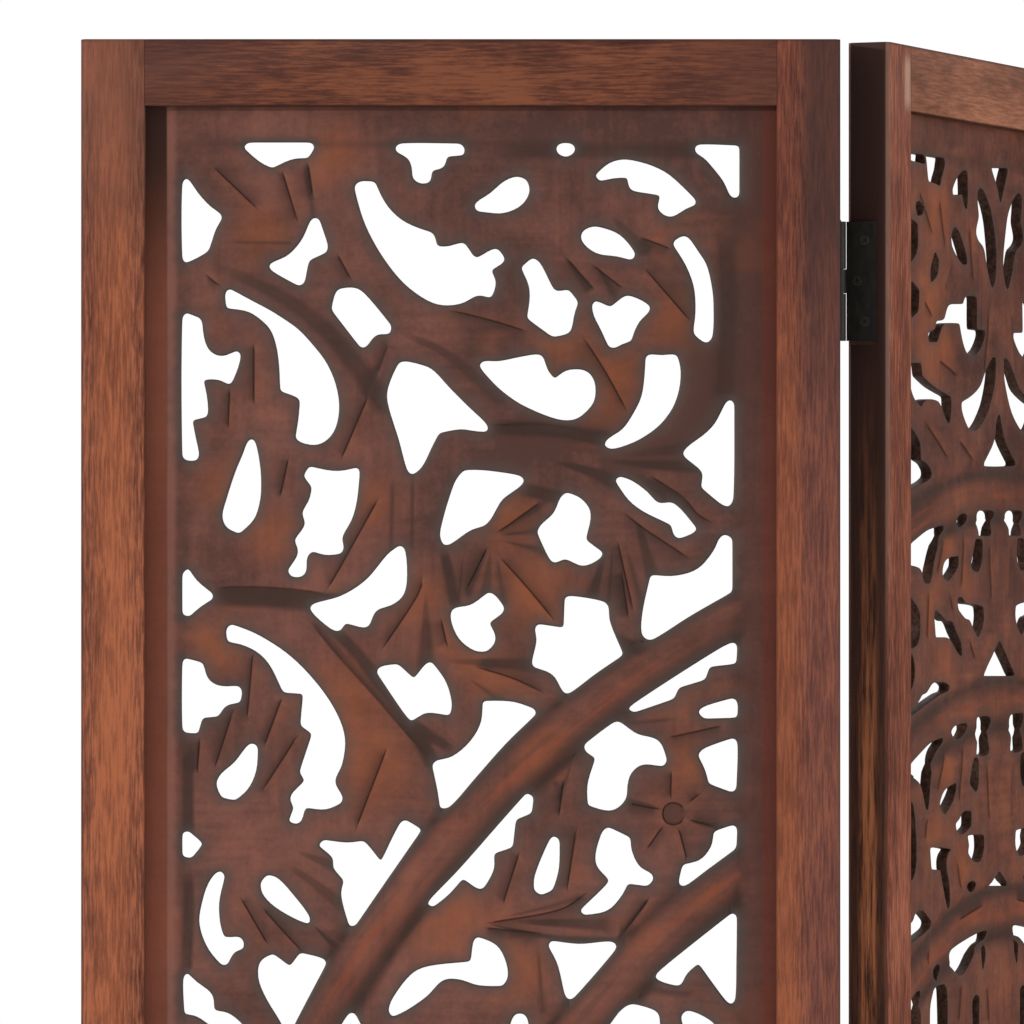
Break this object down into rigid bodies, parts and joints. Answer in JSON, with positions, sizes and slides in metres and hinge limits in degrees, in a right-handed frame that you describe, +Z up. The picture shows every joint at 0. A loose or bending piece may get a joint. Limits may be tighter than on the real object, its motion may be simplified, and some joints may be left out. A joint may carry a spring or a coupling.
{
  "type": "carved folding screen",
  "caption": "Free-standing wooden room divider of hinged framed panels, each holding a thin board pierced and carved with leaves, vines and rings; the panels fold flat in a zigzag.",
  "frame": {"origin": "centre of the footprint of the half-folded screen, on the floor", "axes": "+Z up, X along the two outer panels, -Y the side that the picture shows"},
  "size_m": [0.9978, 0.4112, 1.65],
  "materials": {
    "frame_wood": "satin reddish-brown stain",
    "carved_wood": "satin reddish-brown stain, darker in the cuts",
    "hinge_iron": "black lacquer"
  },
  "bodies": {
    "left_panel": {"left_panel_left_stile": "frame_wood", "left_panel_right_stile": "frame_wood", "left_panel_top_rail": "frame_wood", "left_panel_bottom_rail": "frame_wood", "left_panel_carved_board": "carved_wood", "left_upper_hinge_wing_leaf": "hinge_iron", "left_upper_hinge_pin": "hinge_iron", "left_lower_hinge_wing_leaf": "hinge_iron", "left_lower_hinge_pin": "hinge_iron"},
    "middle_panel": {"middle_panel_left_stile": "frame_wood", "middle_panel_right_stile": "frame_wood", "middle_panel_top_rail": "frame_wood", "middle_panel_bottom_rail": "frame_wood", "middle_panel_carved_board": "carved_wood", "left_upper_hinge_middle_leaf": "hinge_iron", "left_lower_hinge_middle_leaf": "hinge_iron", "right_upper_hinge_middle_leaf": "hinge_iron", "right_lower_hinge_middle_leaf": "hinge_iron"},
    "right_panel": {"right_panel_left_stile": "frame_wood", "right_panel_right_stile": "frame_wood", "right_panel_top_rail": "frame_wood", "right_panel_bottom_rail": "frame_wood", "right_panel_carved_board": "carved_wood", "right_upper_hinge_wing_leaf": "hinge_iron", "right_upper_hinge_pin": "hinge_iron", "right_lower_hinge_wing_leaf": "hinge_iron", "right_lower_hinge_pin": "hinge_iron"}
  },
  "joints": [
    {"name": "fold_left", "type": "hinge", "parent": "middle_panel", "child": "left_panel", "pos_m": [-0.09626, -0.1781, 0.825], "axis": [0, 0, 1], "range_deg": [-114, 66]},
    {"name": "fold_right", "type": "hinge", "parent": "middle_panel", "child": "right_panel", "pos_m": [0.09626, 0.1781, 0.825], "axis": [0, 0, 1], "range_deg": [-114, 66]}
  ]
}
